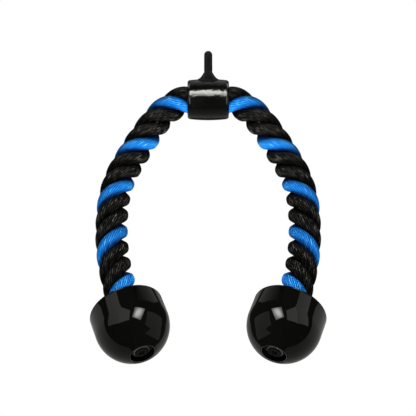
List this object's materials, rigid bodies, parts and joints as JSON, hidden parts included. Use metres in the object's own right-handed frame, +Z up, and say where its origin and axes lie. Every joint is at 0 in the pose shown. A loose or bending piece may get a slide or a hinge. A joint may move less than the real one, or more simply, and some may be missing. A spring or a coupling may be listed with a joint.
{
  "type": "triceps rope cable attachment",
  "caption": "Cable-machine rope attachment: thick three-strand rope arms arch from a short steel collar with a welded hanging eye down to bullet-shaped stop balls.",
  "frame": {"origin": "top of the eye's opening, where the machine's snap hook bears", "axes": "+X along the collar's axis towards the right arm, +Z up, front is -Y; the arms hang down and the eye's plane is YZ"},
  "size_m": [0.208, 0.0714, 0.3346],
  "materials": {
    "collar_enamel": "high gloss black enamel",
    "eye_enamel": "satin black enamel",
    "ball_plastic": "polished black",
    "rope_black": "laid nylon yarn, slight sheen",
    "rope_blue": "laid nylon yarn, silky sheen",
    "black_steel": "black oxide",
    "tape": "matt tape"
  },
  "bodies": {
    "collar": {"collar_sleeve": "collar_enamel", "hanging_eye": "eye_enamel", "eye_weld_front": "eye_enamel", "eye_weld_rear": "eye_enamel"},
    "left_neck": {"left_neck_strand_blue": "rope_blue", "left_neck_strand_black_a": "rope_black", "left_neck_strand_black_b": "rope_black", "left_whipping": "tape"},
    "left_arm": {"left_arm_strand_blue": "rope_blue", "left_arm_strand_black_a": "rope_black", "left_arm_strand_black_b": "rope_black", "left_ball": "ball_plastic", "left_end_ferrule": "black_steel", "left_end_washer": "black_steel", "left_end_screw": "black_steel"},
    "right_neck": {"right_neck_strand_blue": "rope_blue", "right_neck_strand_black_a": "rope_black", "right_neck_strand_black_b": "rope_black", "right_whipping": "tape"},
    "right_arm": {"right_arm_strand_blue": "rope_blue", "right_arm_strand_black_a": "rope_black", "right_arm_strand_black_b": "rope_black", "right_ball": "ball_plastic", "right_end_ferrule": "black_steel", "right_end_washer": "black_steel", "right_end_screw": "black_steel"}
  },
  "joints": [
    {"name": "left_arm_swing", "type": "hinge", "parent": "collar", "child": "left_neck", "pos_m": [-0.02025, 0, -0.04702], "axis": [1, 0, 0], "range_deg": [-35, 35], "stiffness_Nm_per_rad": 1.5, "springref_deg": -1.29},
    {"name": "left_arm_spread", "type": "hinge", "parent": "left_neck", "child": "left_arm", "pos_m": [-0.04067, 0.00092, -0.05903], "axis": [0, 1, 0], "range_deg": [-7.5, 55], "stiffness_Nm_per_rad": 1.5, "springref_deg": 1.99, "deforming": ["left_neck_strand_blue", "left_neck_strand_black_a", "left_neck_strand_black_b"]},
    {"name": "right_arm_swing", "type": "hinge", "parent": "collar", "child": "right_neck", "pos_m": [0.02025, 0, -0.04702], "axis": [1, 0, 0], "range_deg": [-35, 35], "stiffness_Nm_per_rad": 1.5, "springref_deg": -1.29},
    {"name": "right_arm_spread", "type": "hinge", "parent": "right_neck", "child": "right_arm", "pos_m": [0.04067, 0.00092, -0.05903], "axis": [0, -1, 0], "range_deg": [-7.5, 55], "stiffness_Nm_per_rad": 1.5, "springref_deg": 1.99, "deforming": ["right_neck_strand_blue", "right_neck_strand_black_a", "right_neck_strand_black_b"]}
  ]
}
